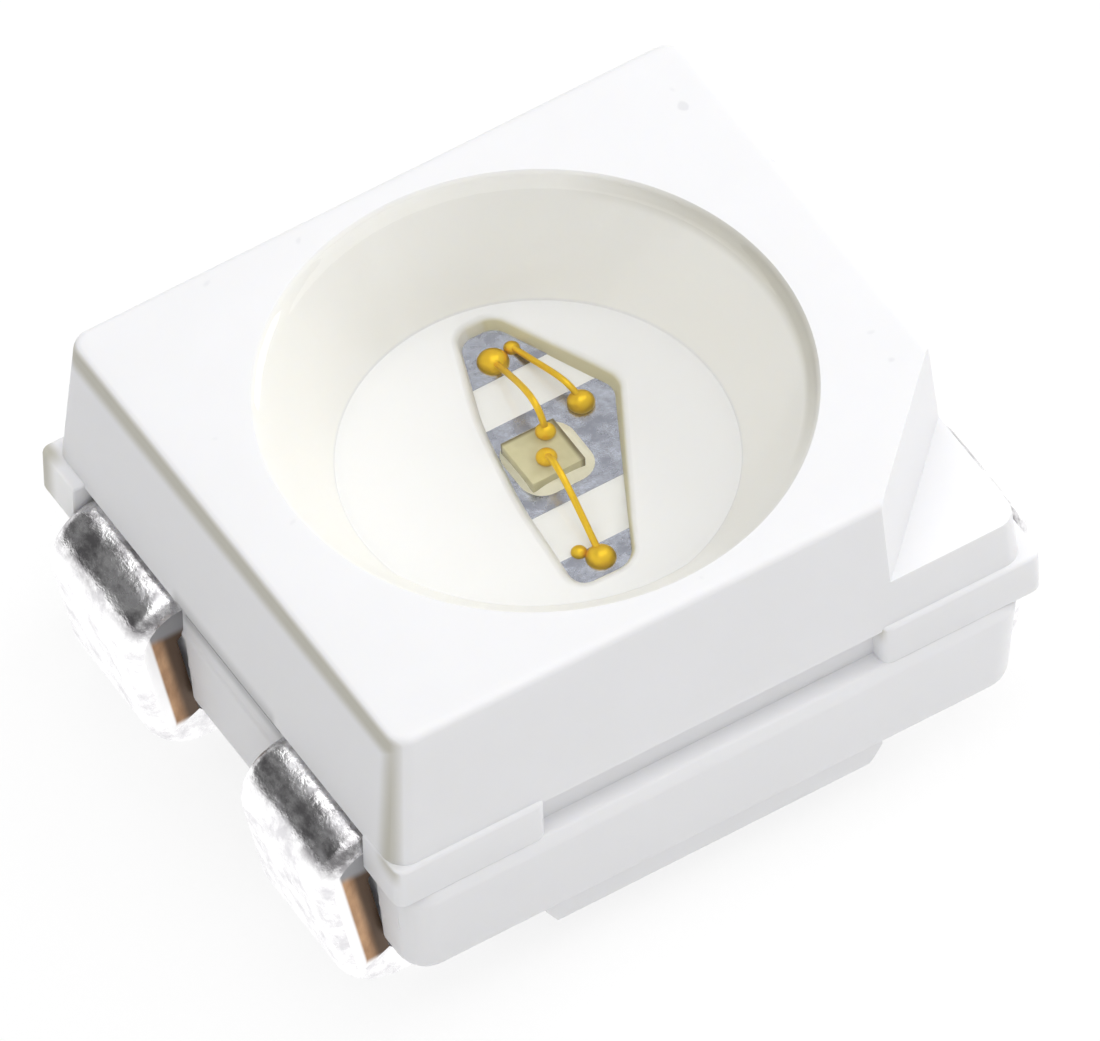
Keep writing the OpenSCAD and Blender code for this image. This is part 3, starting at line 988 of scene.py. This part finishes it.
class LED_OT_set_stage(bpy.types.Operator):
    """Lays the pale floor, sets the soft lights and the camera"""

    bl_idname = "led.set_stage"
    bl_label = "Set stage"

    def execute(self, context):
        settings = context.scene.led_stage
        self.floor()
        self.lights()
        self.world(context.scene)
        self.camera(context.scene, settings)
        context.scene.view_settings.view_transform = "Standard"
        return {"FINISHED"}

    def floor(self):
        rest()
        bpy.ops.mesh.primitive_plane_add(size=0.4, location=(0, 0, 0))
        floor = bpy.context.object
        floor.name = "floor"
        material, tree, shader = new_material("floor_paper")
        shader.inputs["Base Color"].default_value = (0.88, 0.88, 0.88, 1)
        shader.inputs["Roughness"].default_value = 0.9
        light_path = tree.nodes.new("ShaderNodeLightPath")
        glow = tree.nodes.new("ShaderNodeEmission")
        blend = tree.nodes.new("ShaderNodeMixShader")
        rays = light_path.outputs
        seen = calculate(tree, "MAXIMUM", rays["Is Camera Ray"], rays["Is Glossy Ray"])
        seen = calculate(tree, "MAXIMUM", seen, rays["Is Transmission Ray"])
        tree.links.new(calculate(tree, "MULTIPLY", seen, 0.8), blend.inputs["Fac"])
        strength = stretch(tree, rays["Is Glossy Ray"], 0.0, 1.0, 1.04, 1.3)
        tree.links.new(strength, glow.inputs["Strength"])
        tree.links.new(shader.outputs["BSDF"], blend.inputs[1])
        tree.links.new(glow.outputs["Emission"], blend.inputs[2])
        tree.links.new(blend.outputs["Shader"], tree.nodes["Material Output"].inputs["Surface"])
        floor.data.materials.append(material)

    def lights(self):
        lamps = [
            ("overhead_softbox", (0.0, 0.0, 0.06), 0.08, 0.0202),
            ("right_softbox", (0.045, 0.0, 0.027), 0.03, 0.0078),
            ("left_softbox", (-0.032, -0.012, 0.045), 0.03, 0.001),
        ]
        for name, place, size, power in lamps:
            rest()
            bpy.ops.object.light_add(type="AREA", location=place)
            lamp = bpy.context.object
            lamp.name = name
            lamp.data.shape = "DISK"
            lamp.data.size = size
            lamp.data.energy = power
            aim = (Vector((0, 0, 0.001)) - Vector(place)).to_track_quat("-Z", "Y")
            lamp.rotation_euler = aim.to_euler()

    def world(self, scene):
        """A bright room with a dark side at the back left, which the plated bends mirror."""
        world = bpy.data.worlds.new("studio")
        scene.world = world
        world.use_nodes = True
        tree = world.node_tree
        room = tree.nodes["Background"]
        room.inputs["Color"].default_value = (1, 1, 1, 1)
        place = tree.nodes.new("ShaderNodeTexCoord")
        facing = tree.nodes.new("ShaderNodeVectorMath")
        facing.operation = "DOT_PRODUCT"
        facing.inputs[1].default_value = Vector((-0.62, 0.58, 0.53)).normalized()
        tree.links.new(place.outputs["Generated"], facing.inputs[0])
        level = stretch(tree, facing.outputs["Value"], 0.76, 0.88, 0.58, 0.19)
        strip = tree.nodes.new("ShaderNodeVectorMath")
        strip.operation = "DOT_PRODUCT"
        strip.inputs[1].default_value = Vector((0.06, 0.54, 0.84)).normalized()
        tree.links.new(place.outputs["Generated"], strip.inputs[0])
        level = calculate(tree, "ADD", level, stretch(tree, strip.outputs["Value"], 0.972, 0.99, 0.0, 1.0))
        tree.links.new(level, room.inputs["Strength"])
        white = tree.nodes.new("ShaderNodeBackground")
        white.inputs["Strength"].default_value = 1.0
        light_path = tree.nodes.new("ShaderNodeLightPath")
        blend = tree.nodes.new("ShaderNodeMixShader")
        tree.links.new(light_path.outputs["Is Camera Ray"], blend.inputs["Fac"])
        tree.links.new(room.outputs["Background"], blend.inputs[1])
        tree.links.new(white.outputs["Background"], blend.inputs[2])
        tree.links.new(blend.outputs["Shader"], tree.nodes["World Output"].inputs["Surface"])

    def camera(self, scene, settings):
        rest()
        lens = 1500.0
        sensor = 36.0
        width = settings.frame_width
        distance = width * lens / sensor
        azimuth, elevation, roll = settings.azimuth, settings.elevation, settings.roll
        back = Vector((
            math.sin(azimuth) * math.cos(elevation),
            -math.cos(azimuth) * math.cos(elevation),
            math.sin(elevation),
        ))
        right = Vector((math.cos(azimuth), math.sin(azimuth), 0))
        up = back.cross(right)
        scene_right = right * math.cos(roll) - up * math.sin(roll)
        scene_up = right * math.sin(roll) + up * math.cos(roll)
        pixel = width / PICTURE_WIDTH
        aside = (PICTURE_WIDTH / 2 - ORIGIN_U) * pixel
        below = (PICTURE_HEIGHT / 2 - ORIGIN_V) * pixel
        lift = Vector((0, 0, -0.1 * MM))
        target = scene_right * aside - scene_up * below + lift
        bpy.ops.object.camera_add()
        camera = bpy.context.object
        camera.data.lens = lens
        camera.data.sensor_width = sensor
        camera.data.clip_start = 0.01
        camera.data.clip_end = 2.0
        camera.matrix_world = Matrix((
            (scene_right.x, scene_up.x, back.x, 0),
            (scene_right.y, scene_up.y, back.y, 0),
            (scene_right.z, scene_up.z, back.z, 0),
            (0, 0, 0, 1),
        ))
        camera.location = target + back * distance
        scene.camera = camera


class LED_PT_panel(bpy.types.Panel):
    """Lists the LED's pieces in the sidebar"""

    bl_idname = "LED_PT_panel"
    bl_label = "Surface-mount LED"
    bl_space_type = "VIEW_3D"
    bl_region_type = "UI"
    bl_category = "LED"

    def draw(self, context):
        for operator in OPERATORS:
            self.layout.operator(operator.bl_idname)
        for group in SETTINGS:
            settings = getattr(context.scene, group)
            for name in settings.__annotations__:
                self.layout.prop(settings, name)


SETTINGS = {
    "led_housing": HousingSettings,
    "led_resin": ResinSettings,
    "led_leads": LeadSettings,
    "led_chip": ChipSettings,
    "led_stage": StageSettings,
}
OPERATORS = [
    LED_OT_make_housing,
    LED_OT_fill_cup,
    LED_OT_bend_leads,
    LED_OT_mount_chip,
    LED_OT_bond_wires,
    LED_OT_set_stage,
]


def register():
    for name, group in SETTINGS.items():
        bpy.utils.register_class(group)
        setattr(bpy.types.Scene, name, bpy.props.PointerProperty(type=group))
    for item in [*OPERATORS, LED_PT_panel]:
        bpy.utils.register_class(item)


def unregister():
    for item in [LED_PT_panel, *OPERATORS]:
        bpy.utils.unregister_class(item)
    for name, group in SETTINGS.items():
        delattr(bpy.types.Scene, name)
        bpy.utils.unregister_class(group)


def main():
    register()
    bpy.ops.led.make_housing()
    bpy.ops.led.fill_cup()
    bpy.ops.led.bend_leads()
    bpy.ops.led.mount_chip()
    bpy.ops.led.bond_wires()
    bpy.ops.led.set_stage()
    bpy.context.view_layer.update()


if __name__ == "__main__":
    main()
